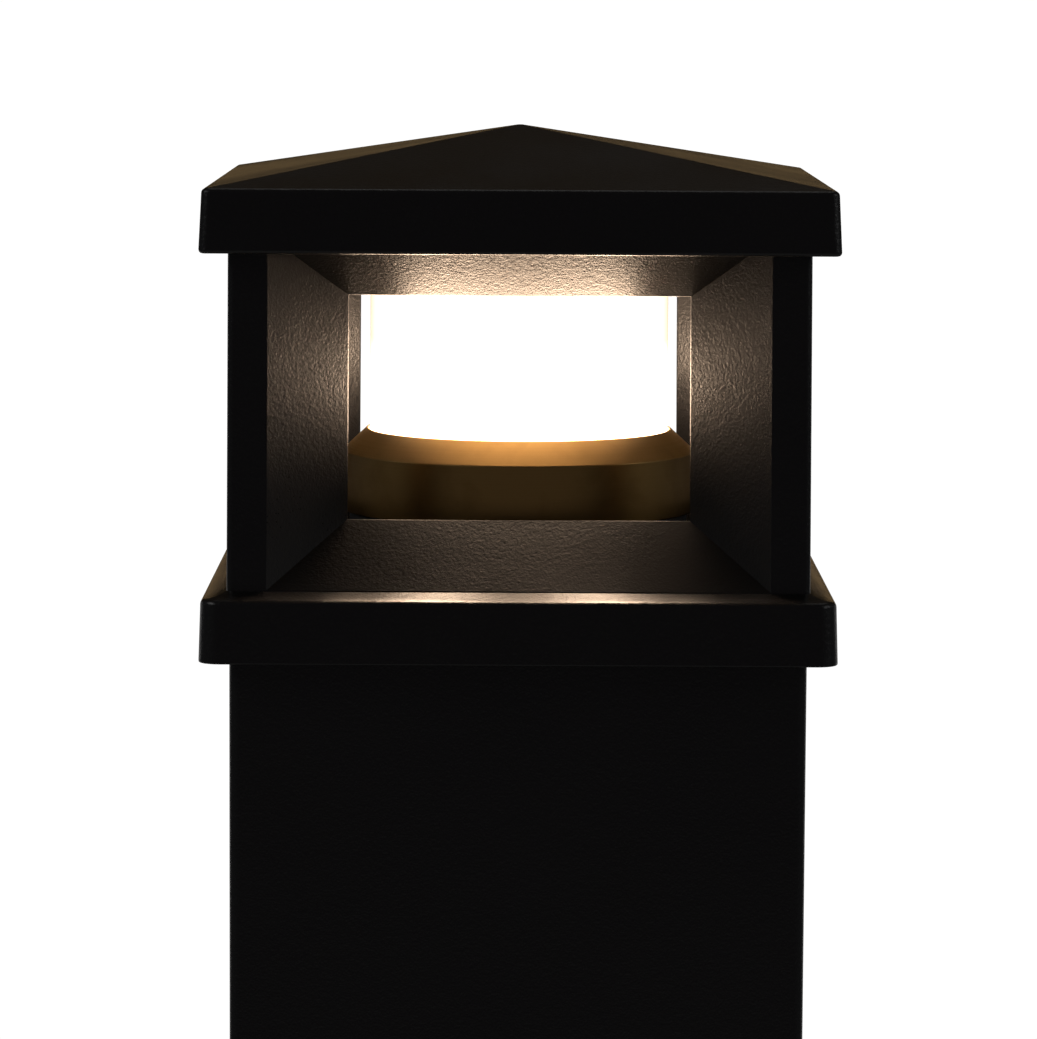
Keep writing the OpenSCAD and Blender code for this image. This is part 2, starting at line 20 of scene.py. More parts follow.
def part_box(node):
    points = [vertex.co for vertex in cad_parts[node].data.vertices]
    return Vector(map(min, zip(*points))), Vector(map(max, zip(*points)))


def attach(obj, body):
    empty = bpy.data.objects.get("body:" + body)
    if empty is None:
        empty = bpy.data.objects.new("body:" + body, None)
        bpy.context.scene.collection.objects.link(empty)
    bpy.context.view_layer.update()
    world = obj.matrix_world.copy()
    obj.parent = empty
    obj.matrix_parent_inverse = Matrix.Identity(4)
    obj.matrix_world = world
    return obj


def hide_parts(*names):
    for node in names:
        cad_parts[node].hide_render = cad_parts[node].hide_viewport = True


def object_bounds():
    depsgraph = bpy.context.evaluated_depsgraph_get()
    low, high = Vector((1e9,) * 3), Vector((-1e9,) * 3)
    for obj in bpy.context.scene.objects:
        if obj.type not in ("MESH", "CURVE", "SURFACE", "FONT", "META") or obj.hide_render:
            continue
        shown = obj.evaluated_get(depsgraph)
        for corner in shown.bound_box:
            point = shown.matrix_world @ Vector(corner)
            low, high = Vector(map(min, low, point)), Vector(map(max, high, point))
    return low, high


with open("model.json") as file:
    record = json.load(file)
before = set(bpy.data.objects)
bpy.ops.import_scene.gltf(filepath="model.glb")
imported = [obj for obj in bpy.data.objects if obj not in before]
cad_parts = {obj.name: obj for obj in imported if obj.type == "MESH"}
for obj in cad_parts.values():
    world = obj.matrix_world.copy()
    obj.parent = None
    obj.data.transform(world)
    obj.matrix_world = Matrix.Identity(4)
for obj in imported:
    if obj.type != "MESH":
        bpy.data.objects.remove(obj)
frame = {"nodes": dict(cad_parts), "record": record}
CAD_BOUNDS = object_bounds()
LOG = logging.getLogger("bollard_light")
MM = 0.001
QUARTERS = (0, 90, 180, 270)

Colour = tuple[float, float, float]
Point = Sequence[float]
Piece = bpy.types.Object
Material = bpy.types.Material
Edge = bmesh.types.BMEdge
Face = bmesh.types.BMFace


class Body(Enum):
    """The bodies that pieces ride on."""

    ANCHOR = "anchor"
    POST = "post"
    HEAD = "head"
    CAP = "cap"


class Slot(Enum):
    """The material slots of the record."""

    POWDER_COAT = "powder_coat"
    BRASS_RING = "brass_ring"
    BRASS_HARDWARE = "brass_hardware"
    OPAL_LENS = "opal_lens"
    GASKET = "gasket"
    STAINLESS = "stainless"
    BARE_ALUMINIUM = "bare_aluminium"
    CIRCUIT_BOARD = "circuit_board"
    LED_PHOSPHOR = "led_phosphor"
    DRIVER_CASE = "driver_case"
    TERMINAL = "terminal_plastic"
    SURGE = "surge_plastic"
    LEAD_RED = "lead_red"
    LEAD_BLUE = "lead_blue"


class Part(Enum):
    """What a selection in edit mode is made of."""

    FACES = "FACE"
    EDGES = "EDGE"


# ---- Shader maths ----


class Wire:
    """A shader socket that takes part in Python arithmetic."""

    def __init__(self, graph: "Graph", socket: bpy.types.NodeSocket) -> None:
        """Wrap a socket of a graph's node."""
        self.graph = graph
        self.socket = socket

    def _maths(self, operation: str, first: Any, second: Any) -> "Wire":
        """Return a Math node's result for two wires or numbers."""
        return self.graph.node("ShaderNodeMath", {"operation": operation}, {0: first, 1: second})

    def __add__(self, other: Any) -> "Wire":
        """Return self + other."""
        return self._maths("ADD", self, other)

    __radd__ = __add__

    def __sub__(self, other: Any) -> "Wire":
        """Return self - other."""
        return self._maths("SUBTRACT", self, other)

    def __rsub__(self, other: Any) -> "Wire":
        """Return other - self."""
        return self._maths("SUBTRACT", other, self)

    def __mul__(self, other: Any) -> "Wire":
        """Return self * other."""
        return self._maths("MULTIPLY", self, other)

    __rmul__ = __mul__

    def __pow__(self, other: Any) -> "Wire":
        """Return self to the power of other."""
        return self._maths("POWER", self, other)


class Graph:
    """The nodes of one material, round a Principled shader."""

    def __init__(self, name: str) -> None:
        """Start an empty material.

        Args:
            name: the material's name.
        """
        self.material = bpy.data.materials.new(name)
        self.material.use_nodes = True
        self.tree = self.material.node_tree
        self.tree.nodes.clear()
        self.shader = self.tree.nodes.new("ShaderNodeBsdfPrincipled")
        output = self.tree.nodes.new("ShaderNodeOutputMaterial")
        self.tree.links.new(self.shader.outputs[0], output.inputs[0])

    def node(
        self, kind: str, settings: dict[str, Any], inputs: dict[Any, Any], output: Any = 0
    ) -> Wire:
        """Add a node.

        Args:
            kind: the node's type.
            settings: its attributes.
            inputs: a value or a wire for each socket, by name or by number.
            output: the name or number of the socket to return.

        Returns:
            The asked output.
        """
        made = self.tree.nodes.new(kind)
        for key, value in settings.items():
            setattr(made, key, value)
        for key, value in inputs.items():
            self.join(value, made.inputs[key])
        return Wire(self, made.outputs[output])

    def join(self, value: Any, socket: bpy.types.NodeSocket) -> None:
        """Link a wire to a socket, or set the socket's value.

        Args:
            value: a wire, a number, a vector or a colour.
            socket: the input socket.
        """
        if isinstance(value, Wire):
            self.tree.links.new(value.socket, socket)
        elif isinstance(value, tuple) and len(value) == 3 and len(socket.default_value) == 4:
            socket.default_value = (*value, 1)
        else:
            socket.default_value = value

    def place(self) -> Wire:
        """Return the point on the piece, in metres."""
        return self.node("ShaderNodeTexCoord", {}, {}, "Object")

    def stretched(self, scale: tuple[float, float, float]) -> Wire:
        """Return the point on the piece, stretched along each axis."""
        return self.node("ShaderNodeMapping", {}, {"Vector": self.place(), "Scale": scale})

    def split(self, vector: Wire) -> tuple[Wire, Wire, Wire]:
        """Return the X, Y and Z of a vector."""
        apart = self.node("ShaderNodeSeparateXYZ", {}, {"Vector": vector})
        return tuple(Wire(self, socket) for socket in apart.socket.node.outputs)

    def facing_up(self) -> Wire:
        """Return how far the surface faces up, from -1 to 1."""
        return self.split(self.node("ShaderNodeNewGeometry", {}, {}, "Normal"))[2]

    def noise(self, size: float, detail: float = 2.0, vector: Optional[Wire] = None) -> Wire:
        """Return a pattern from 0 to 1, with cells of a size in the vector's units."""
        values = {"Vector": vector or self.place(), "Scale": 1 / size, "Detail": detail}
        return self.node("ShaderNodeTexNoise", {}, values, "Fac")

    def pebbles(self, size: float) -> Wire:
        """Return the distance to the nearest pebble's middle, with smooth joins."""
        values = {"Vector": self.place(), "Scale": 1 / size, "Smoothness": 0.6}
        return self.node("ShaderNodeTexVoronoi", {"feature": "SMOOTH_F1"}, values, "Distance")

    def band(self, value: Wire, low: float, high: float) -> Wire:
        """Return a value spread from 0 at low to 1 at high, and clamped."""
        values = {"Value": value, "From Min": low, "From Max": high}
        return self.node("ShaderNodeMapRange", {"clamp": True}, values)

    def tint(self, factor: Wire, first: Any, second: Any) -> Wire:
        """Return a colour between two, by a factor from 0 to 1."""
        return self.node("ShaderNodeMix", {"data_type": "RGBA"}, {0: factor, 6: first, 7: second}, 2)

    def bump(self, height: Wire, depth: float) -> Wire:
        """Return a normal that is raised by a height from 0 to 1, times a depth in metres."""
        values = {"Height": height, "Distance": depth, "Strength": 1.0}
        return self.node("ShaderNodeBump", {}, values, "Normal")

    def finish(self, values: dict[str, Any]) -> Material:
        """Set the shader's own sockets.

        Args:
            values: a value or a wire for each socket, by name.

        Returns:
            The material.
        """
        for key, value in values.items():
            self.join(value, self.shader.inputs[key])
        return self.material


class Sky(Graph):
    """The nodes of a world, round its background."""

    def __init__(self, world: bpy.types.World) -> None:
        """Take up a new world.

        Args:
            world: the world.
        """
        world.use_nodes = True
        self.tree = world.node_tree
        self.shader = self.tree.nodes["Background"]


# ---- Finishes ----


@dataclass(frozen=True)
class PowderCoat:
    """Black textured powder coat on aluminium, with a little dust where it faces up."""

    name: str = "textured_powder_coat"
    colour: Colour = (0.0042, 0.0040, 0.0042)
    worn_colour: Colour = (0.0085, 0.0078, 0.0075)
    dust_colour: Colour = (0.04, 0.032, 0.024)
    grain: float = 0.6 * MM
    grain_depth: float = 0.12 * MM
    pebble: float = 1.4 * MM
    blotch: float = 45 * MM
    roughness: float = 0.31

    def make(self) -> Material:
        """Mix the finish.

        Returns:
            The material.
        """
        graph = Graph(self.name)
        fine = graph.noise(self.grain, 2.5)
        coarse = graph.pebbles(self.pebble)
        blotches = graph.noise(self.blotch, 3.0)
        peaks = graph.band(fine, 0.52, 0.78)
        dust = graph.band(graph.facing_up(), 0.55, 1.0) * graph.band(blotches, 0.25, 0.75)
        coat = graph.tint(peaks * 0.55 + blotches * 0.2, self.colour, self.worn_colour)
        height = fine * 0.8 + coarse * 0.35
        return graph.finish({
            "Base Color": graph.tint(dust * 0.05, coat, self.dust_colour),
            "Roughness": dust * 0.08 + (blotches * 0.08 + (fine * 0.1 + (self.roughness - 0.09))),
            "Specular IOR Level": 0.5,
            "Normal": graph.bump(height, self.grain_depth),
        })


@dataclass(frozen=True)
class TurnedBrass:
    """Brass turned on a lathe, with fine rings, light tarnish and soft stains."""

    name: str = "turned_brass"
    colour: Colour = (0.44, 0.27, 0.092)
    tarnish: Colour = (0.22, 0.12, 0.036)
    groove: float = 0.22 * MM
    groove_depth: float = 0.006 * MM
    stain: float = 9 * MM
    roughness: float = 0.36

    def make(self) -> Material:
        """Mix the finish.

        Returns:
            The material.
        """
        graph = Graph(self.name)
        rings = graph.noise(1.0, 2.0, graph.stretched((12, 12, 1 / self.groove)))
        stains = graph.noise(self.stain, 4.0)
        tarnish = graph.band(stains, 0.5, 0.8) * 0.45 + rings * 0.18
        return graph.finish({
            "Base Color": graph.tint(tarnish, self.colour, self.tarnish),
            "Metallic": 1.0,
            "Roughness": rings * 0.16 + (stains * 0.14 + (self.roughness - 0.12)),
            "Normal": graph.bump(rings, self.groove_depth),
        })


@dataclass(frozen=True)
class OpalLens:
    """Opal acrylic that glows from the LEDs behind it, most of all low down."""

    name: str = "opal_acrylic"
    colour: Colour = (0.86, 0.85, 0.82)
    glow: Colour = (1.0, 0.72, 0.50)
    strength: float = 13.0
    dim_share: float = 0.18
    bright_z: float = 686 * MM
    dim_z: float = 704 * MM
    roughness: float = 0.3
    haze: float = 14 * MM

    def make(self) -> Material:
        """Mix the finish.

        Returns:
            The material.
        """
        graph = Graph(self.name)
        haze = graph.noise(self.haze, 2.0)
        ripple = graph.noise(self.haze * 0.12, 1.0)
        rise = graph.band(graph.split(graph.place())[2], self.bright_z, self.dim_z)
        dim = tuple(part * self.dim_share for part in self.glow)
        return graph.finish({
            "Base Color": graph.tint(haze * 0.4, self.colour, (0.80, 0.79, 0.75)),
            "Roughness": haze * 0.1 + (self.roughness - 0.05),
            "Coat Weight": 1.0,
            "Emission Color": graph.tint(rise * 0.95 + haze * 0.05, self.glow, dim),
            "Emission Strength": self.strength,
            "Normal": graph.bump(ripple, 0.004 * MM),
        })


@dataclass(frozen=True)
class BrushedMetal:
    """Bare metal with a directional brush or a turned face, and smudges."""

    name: str
    colour: Colour
    shade: Colour
    roughness: float
    brush: Colour = (1.0, 1.0, 0.06)
    scratch: float = 0.35 * MM
    depth: float = 0.006 * MM
    metallic: float = 1.0

    def make(self) -> Material:
        """Mix the finish.

        Returns:
            The material.
        """
        graph = Graph(self.name)
        lines = graph.noise(self.scratch, 2.0, graph.stretched(self.brush))
        smudge = graph.noise(11 * MM, 3.0)
        worn = graph.band(smudge, 0.35, 0.7) * 0.5 + lines * 0.35
        return graph.finish({
            "Base Color": graph.tint(worn, self.colour, self.shade),
            "Metallic": self.metallic,
            "Roughness": lines * 0.18 + (smudge * 0.16 + (self.roughness - 0.16)),
            "Normal": graph.bump(lines, self.depth),
        })


@dataclass(frozen=True)
class Moulded:
    """Moulded plastic, rubber or insulation, with a fine grain and uneven sheen."""

    name: str
    colour: Colour
    shade: Colour
    roughness: float
    grain: float = 0.5 * MM
    depth: float = 0.02 * MM
    glow: float = 0.0

    def make(self) -> Material:
        """Mix the finish.

        Returns:
            The material.
        """
        graph = Graph(self.name)
        grain = graph.noise(self.grain, 2.0)
        cloud = graph.noise(7 * MM, 3.0)
        values = {
            "Base Color": graph.tint(cloud * 0.7 + grain * 0.3, self.colour, self.shade),
            "Roughness": cloud * 0.16 + (grain * 0.06 + (self.roughness - 0.1)),
            "Normal": graph.bump(grain, self.depth),
        }
        if self.glow:
            values["Emission Color"] = graph.tint(cloud, self.colour, self.shade)
            values["Emission Strength"] = self.glow
        return graph.finish(values)


FINISHES: dict[Slot, Any] = {
    Slot.POWDER_COAT: PowderCoat(),
    Slot.BRASS_RING: TurnedBrass(),
    Slot.BRASS_HARDWARE: BrushedMetal("brass_hardware", (0.72, 0.5, 0.2), (0.4, 0.26, 0.1), 0.36),
    Slot.OPAL_LENS: OpalLens(),
    Slot.GASKET: Moulded("silicone_gasket", (0.022, 0.022, 0.024), (0.04, 0.04, 0.042), 0.62),
    Slot.STAINLESS: BrushedMetal(
        "stainless_screws", (0.6, 0.6, 0.61), (0.4, 0.4, 0.41), 0.3, (1, 1, 1)
    ),
    Slot.BARE_ALUMINIUM: BrushedMetal("bare_aluminium", (0.66, 0.67, 0.69), (0.47, 0.48, 0.5), 0.38),
    Slot.CIRCUIT_BOARD: Moulded("white_solder_mask", (0.82, 0.83, 0.80), (0.7, 0.71, 0.68), 0.3),
    Slot.LED_PHOSPHOR: Moulded("led_phosphor", (0.95, 0.72, 0.2), (0.9, 0.6, 0.13), 0.4, glow=6.0),
    Slot.DRIVER_CASE: BrushedMetal("anodised_case", (0.5, 0.51, 0.53), (0.36, 0.37, 0.39), 0.42),
    Slot.TERMINAL: Moulded("terminal_nylon", (0.72, 0.69, 0.6), (0.6, 0.57, 0.48), 0.5),
    Slot.SURGE: Moulded("surge_housing", (0.34, 0.03, 0.02), (0.22, 0.02, 0.014), 0.38),
    Slot.LEAD_RED: Moulded("red_insulation", (0.48, 0.02, 0.015), (0.36, 0.015, 0.012), 0.42),
    Slot.LEAD_BLUE: Moulded("blue_insulation", (0.02, 0.07, 0.36), (0.016, 0.05, 0.26), 0.42),
}


class Paintshop:
    """Makes each finish once and puts it on pieces and CAD nodes."""

    def __init__(self) -> None:
        """Start with nothing mixed."""
        self.mixed: dict[Slot, Material] = {}

    def coat(self, piece: Piece, slot: Slot) -> None:
        """Give a piece the finish of a slot, and nothing else.

        Args:
            piece: the piece.
            slot: the slot.
        """
        if slot not in self.mixed:
            self.mixed[slot] = FINISHES[slot].make()
        piece.data.materials.clear()
        piece.data.materials.append(self.mixed[slot])

    def coat_nodes(self) -> None:
        """Give every CAD node the finish that the record names for it."""
        for entry in frame["record"]["subparts"]:
            self.coat(frame["nodes"][entry["node"]], Slot(entry["material_slot"]))


# ---- Modelling tools ----


class Bench:
    """The modelling operators, each told by place or direction what it acts on."""

    sharp_degrees = 40
    bevel_degrees = 38
    flat_degrees = 0.5

    @staticmethod
    def take_up(piece: Piece) -> None:
        """Make a piece the only selected object.

        Args:
            piece: the piece.
        """
        bpy.ops.object.select_all(action="DESELECT")
        piece.select_set(True)
        bpy.context.view_layer.objects.active = piece

    @staticmethod
    def settle(piece: Piece, name: str) -> Piece:
        """Name a new piece and put its place into its mesh.

        Args:
            piece: the piece, which is the selected object.
            name: its name.

        Returns:
            The piece, at the origin.
        """
        piece.name = name
        piece.data.name = name
        bpy.ops.object.transform_apply(location=True, rotation=True, scale=True)
        return piece

    @classmethod
    def block(cls, name: str, low: Point, high: Point) -> Piece:
        """Add a block between two corners.

        Args:
            name: the piece's name.
            low: its lowest corner.
            high: its highest corner.

        Returns:
            The block.
        """
        bpy.ops.object.select_all(action="DESELECT")
        low, high = Vector(low), Vector(high)
        bpy.ops.mesh.primitive_cube_add(size=1, location=(low + high) / 2)
        piece = bpy.context.object
        piece.scale = high - low
        return cls.settle(piece, name)

    @classmethod
    def slab(cls, name: str, half: float, low_z: float, high_z: float) -> Piece:
        """Add a square block round the upright axis, from one height to another."""
        return cls.block(name, (-half, -half, low_z), (half, half, high_z))

    @classmethod
    def bar(
        cls, name: str, radius: float, start: Point, end: Point, sides: int = 32
    ) -> Piece:
        """Add a round bar from one point to another.

        Args:
            name: the piece's name.
            radius: its radius.
            start: the middle of its first end.
            end: the middle of its other end.
            sides: how many faces go round.

        Returns:
            The bar.
        """
        bpy.ops.object.select_all(action="DESELECT")
        start, end = Vector(start), Vector(end)
        bpy.ops.mesh.primitive_cylinder_add(vertices=sides, radius=radius, depth=(end - start).length)
        piece = bpy.context.object
        piece.rotation_euler = (end - start).to_track_quat("Z", "Y").to_euler()
        piece.location = (start + end) / 2
        return cls.settle(piece, name)

    @classmethod
    @contextmanager
    def shaping(cls, piece: Piece) -> Iterator[None]:
        """Hold a piece in edit mode.

        Args:
            piece: the piece.
        """
        cls.take_up(piece)
        bpy.ops.object.mode_set(mode="EDIT")
        yield
        bpy.ops.object.mode_set(mode="OBJECT")

    @staticmethod
    def pick(part: Part, test: Callable[[Any], bool]) -> None:
        """Select the faces or edges that pass a test, in edit mode.

        Args:
            part: faces or edges.
            test: told one face or edge.
        """
        bpy.ops.mesh.select_mode(type=part.value)
        bpy.ops.mesh.select_all(action="DESELECT")
        data = bpy.context.object.data
        mesh = bmesh.from_edit_mesh(data)
        chosen = [item for item in (mesh.faces if part is Part.FACES else mesh.edges) if test(item)]
        for item in chosen:
            item.select_set(True)
        mesh.select_flush_mode()
        bmesh.update_edit_mesh(data)

    @classmethod
    def pick_facing(cls, direction: Point) -> None:
        """Select the faces that look nearly along a direction, in edit mode."""
        cls.pick(Part.FACES, lambda face: facing(face, direction))

    @staticmethod
    def resize(scale: Point, centre: Point) -> None:
        """Scale what is selected about a point."""
        bpy.ops.transform.resize(value=scale, center_override=centre)

    @staticmethod
    def extrude(move: Point) -> None:
        """Pull what is selected out by a distance."""
        bpy.ops.mesh.extrude_region_move(TRANSFORM_OT_translate={"value": move})

    @staticmethod
    def inset(thickness: float, each: bool = False) -> None:
        """Inset the selected faces."""
        bpy.ops.mesh.inset(thickness=thickness, depth=0, use_individual=each)

    @classmethod
    def round_edges(cls, test: Callable[[Any], bool], radius: float, segments: int) -> None:
        """Round the edges that pass a test, in edit mode, with some faces round each."""
        cls.pick(Part.EDGES, test)
        bpy.ops.mesh.bevel(offset=radius, segments=segments, affect="EDGES", clamp_overlap=True)

    @classmethod
    def apply(cls, piece: Piece, kind: str, settings: dict[str, Any]) -> None:
        """Add a modifier and apply it.

        Args:
            piece: the piece.
            kind: the modifier's type.
            settings: its attributes.
        """
        cls.take_up(piece)
        modifier = piece.modifiers.new(kind.lower(), kind)
        for key, value in settings.items():
            setattr(modifier, key, value)
        bpy.ops.object.modifier_apply(modifier=modifier.name)

    @classmethod
    def combine(cls, piece: Piece, other: Piece, operation: str) -> None:
        """Join another solid to a piece, or cut it away, and throw the other one out."""
        cls.apply(piece, "BOOLEAN", {"object": other, "operation": operation, "solver": "EXACT"})
        bpy.data.objects.remove(other)

    @classmethod
    def spun(
        cls, name: str, outline: Sequence[tuple[float, float]], radius: float, steps: int
    ) -> Piece:
        """Turn an outline round the upright axis, and shade it smoothly.

        Args:
            name: the piece's name.
            outline: the section as pairs of distance from the axis and height, in order.
            radius: how far its corners are rounded.
            steps: how many faces go round.

        Returns:
            The closed round piece.
        """
        bpy.ops.object.select_all(action="DESELECT")
        bpy.ops.mesh.primitive_circle_add(vertices=len(outline), fill_type="NGON", location=(0, 0, 0))
        piece = cls.settle(bpy.context.object, name)
        for vertex, (across, height) in zip(piece.data.vertices, outline):
            vertex.co = (across, 0, height)
        with cls.shaping(piece):
            bpy.ops.mesh.select_all(action="SELECT")
            bpy.ops.mesh.bevel(offset=radius, segments=3, affect="VERTICES", clamp_overlap=True)
            bpy.ops.mesh.select_all(action="SELECT")
            bpy.ops.mesh.delete(type="ONLY_FACE")
            bpy.ops.mesh.select_all(action="SELECT")
            bpy.ops.mesh.spin(steps=steps, angle=math.tau, center=(0, 0, 0), axis=(0, 0, 1))
            bpy.ops.mesh.select_all(action="SELECT")
            bpy.ops.mesh.remove_doubles(threshold=0.01 * MM)
        cls.face_out(piece)
        return cls.smooth(piece)

    @classmethod
    def face_out(cls, piece: Piece) -> None:
        """Turn every face outwards.

        Args:
            piece: the piece.
        """
        with cls.shaping(piece):
            bpy.ops.mesh.select_all(action="SELECT")
            bpy.ops.mesh.normals_make_consistent(inside=False)

    @classmethod
    def smooth(cls, piece: Piece) -> Piece:
        """Shade the rounded edges smoothly and keep the broad faces flat.

        Args:
            piece: the piece.

        Returns:
            The piece.
        """
        cls.take_up(piece)
        bpy.ops.object.shade_smooth_by_angle(angle=math.radians(cls.sharp_degrees))
        cls.apply(piece, "WEIGHTED_NORMAL", {"weight": 60, "keep_sharp": True})
        return piece

    @classmethod
    def softened(cls, node: str, radius: float) -> Piece:
        """Copy a CAD node, merge its triangles and round its edges.

        Args:
            node: the CAD node.
            radius: the edges' radius.

        Returns:
            The new piece.
        """
        piece = bpy.data.objects.new(f"{node}_cast", frame["nodes"][node].data.copy())
        bpy.context.scene.collection.objects.link(piece)
        with cls.shaping(piece):
            bpy.ops.mesh.select_all(action="SELECT")
            bpy.ops.mesh.remove_doubles(threshold=0.002 * MM)
            bpy.ops.mesh.select_all(action="SELECT")
            bpy.ops.mesh.dissolve_limited(angle_limit=math.radians(cls.flat_degrees))
        cls.apply(piece, "BEVEL", {
            "width": radius,
            "segments": 2,
            "limit_method": "ANGLE",
            "angle_limit": math.radians(cls.bevel_degrees),
            "use_clamp_overlap": True,
        })
        return cls.smooth(piece)


# ---- Edge and face tests ----

SMALL = 0.05 * MM
NEARLY = 0.97
UP, DOWN = (0, 0, 1), (0, 0, -1)


def middle(edge: Edge) -> Vector:
    """Return the middle of an edge."""
    return (edge.verts[0].co + edge.verts[1].co) / 2


def upright(edge: Edge) -> bool:
    """Tell whether an edge runs nearly straight up."""
    along = edge.verts[1].co - edge.verts[0].co
    return abs(along.z) > 0.98 * along.length


def level(edge: Edge, height: float, slack: float = SMALL) -> bool:
    """Tell whether an edge lies level at a height."""
    return all(abs(vertex.co.z - height) < slack for vertex in edge.verts)


def crease(edge: Edge, degrees: float) -> bool:
    """Tell whether an edge's two faces meet at an angle."""
    return edge.is_manifold and edge.calc_face_angle(0) > math.radians(degrees)


def facing(face: Face, direction: Point) -> bool:
    """Tell whether a face looks nearly along a direction."""
    return face.normal.dot(Vector(direction)) > NEARLY


def lies_flat(face: Face) -> bool:
    """Tell whether a face looks straight up or straight down."""
    return abs(face.normal.z) > NEARLY


# ---- Sub-assemblies ----


DRILL_END = 90 * MM


def side_screws(node: str, radius: float) -> list[tuple[int, float, float]]:
    """Find the screws of a node that faces left or right.

    Args:
        node: the screws' CAD node.
        radius: the radius of their holes.

    Returns:
        The side, -1 or 1, and the Y and Z of each screw.
    """
    low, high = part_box(node)
    y, z = high.y - radius + SMALL, (low.z + high.z) / 2
    return [(side, along * y, z) for side in (-1, 1) for along in (-1, 1)]


@dataclass
class Assembly:
    """One sub-assembly: it makes pieces, dresses them and hands them to their body."""

    shop: Paintshop
    body: Body

    def fit(self, piece: Piece, slot: Slot, *nodes: str) -> None:
        """Finish a piece, let it ride on the body and stand for its CAD nodes.

        Args:
            piece: the piece.
            slot: its material slot.
            nodes: the CAD nodes that it replaces.
        """
        self.shop.coat(piece, slot)
        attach(piece, self.body.value)
        if nodes:
            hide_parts(*nodes)
        faces = len(piece.data.polygons)
        LOG.info("%s: %d faces, %s, on %s", piece.name, faces, slot.value, self.body.value)

    def side_holes(self, piece: Piece, node: str, radius: float, inner_x: float) -> None:
        """Drill a hole round each screw of a node that faces left or right.

        Args:
            piece: the piece to drill.
            node: the screws' CAD node.
            radius: the holes' radius.
            inner_x: how far from the middle the holes begin.
        """
        for side, y, z in side_screws(node, radius):
            drill = Bench.bar("drill", radius, (side * inner_x, y, z), (side * DRILL_END, y, z))
            Bench.combine(piece, drill, "DIFFERENCE")


@dataclass
class RoofCap(Assembly):
    """The pyramid roof cap with its skirt, seat rib, screw bosses and holes for the set screws."""

    skirt_h: float = 16.5 * MM
    draft: float = 0.8 * MM
    wall: float = 4 * MM
    corner_r: float = 2.5 * MM
    edge_r: float = 1.0 * MM
    ridge_r: float = 0.7 * MM
    seat_half: float = 73 * MM
    seat_w: float = 6 * MM
    seat_h: float = 4.6 * MM
    screw_r: float = 2.05 * MM
    drill_x: float = 74 * MM
    boss_r: float = 5 * MM
    boss_gap: float = 0.3 * MM
    boss_end: float = 80 * MM
    hip_length: float = 60 * MM
    hip_rise: float = 6 * MM

    def build(self) -> None:
        """Make the cap."""
        low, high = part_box("roof_cap")
        half, eave_half, eave_z = high.x, high.x - self.draft, low.z + self.skirt_h
        slope = (high.z - eave_z) / eave_half
        inner_half = eave_half - self.wall
        roof_t = self.wall / math.cos(math.atan(slope))
        inner_eave_z = high.z - roof_t - slope * inner_half
        cap = Bench.slab("roof_cap_casting", half, low.z, eave_z)
        with Bench.shaping(cap):
            Bench.pick_facing(UP)
            Bench.resize((eave_half / half, eave_half / half, 1), (0, 0, eave_z))
            Bench.extrude((0, 0, high.z - eave_z))
            bpy.ops.mesh.merge(type="CENTER")
            Bench.pick_facing(DOWN)
            Bench.inset(half - inner_half)
            Bench.extrude((0, 0, inner_eave_z - low.z))
            Bench.extrude((0, 0, slope * inner_half))
            bpy.ops.mesh.merge(type="CENTER")
            Bench.round_edges(
                lambda edge: upright(edge) and abs(middle(edge).x) > inner_half + MM, self.corner_r, 6
            )
            Bench.round_edges(lambda edge: level(edge, eave_z) and crease(edge, 30), self.edge_r, 4)
            Bench.round_edges(lambda edge: level(edge, low.z) and crease(edge, 60), self.edge_r, 3)
            Bench.round_edges(lambda edge: self.is_hip(edge, eave_z), self.ridge_r, 3)
        self.add_seat(cap)
        self.side_holes(cap, "cap_screws", self.screw_r, self.drill_x)
        Bench.smooth(cap)
        self.fit(cap, Slot.POWDER_COAT, "roof_cap")

    def is_hip(self, edge: Edge, eave_z: float) -> bool:
        """Tell whether an edge is one of the four hips on the outside of the roof.

        Args:
            edge: the edge.
            eave_z: the height of the roof's lower edge.

        Returns:
            True for a hip.
        """
        along = edge.verts[1].co - edge.verts[0].co
        slanted = along.length > self.hip_length and abs(abs(along.x) - abs(along.y)) < MM
        return slanted and middle(edge).z > eave_z + self.hip_rise

    def add_seat(self, cap: Piece) -> None:
        """Join the rib that sits on the gasket, and the bosses round the set screws.

        Args:
            cap: the cap that they are joined to.
        """
        low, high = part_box("roof_cap")
        seat_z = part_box("cap_gasket")[1].z
        rib = Bench.slab("seat_rib", self.seat_half, seat_z, seat_z + self.seat_h)
        core = Bench.slab("seat_core", self.seat_half - self.seat_w, low.z, high.z)
        Bench.combine(rib, core, "DIFFERENCE")
        Bench.combine(cap, rib, "UNION")
        boss_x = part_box("lantern_frame")[1].x + self.boss_gap
        for side, y, z in side_screws("cap_screws", self.screw_r):
            start, end = (side * boss_x, y, z), (side * self.boss_end, y, z)
            boss = Bench.bar("boss", self.boss_r, start, end, 40)
            Bench.combine(cap, boss, "UNION")


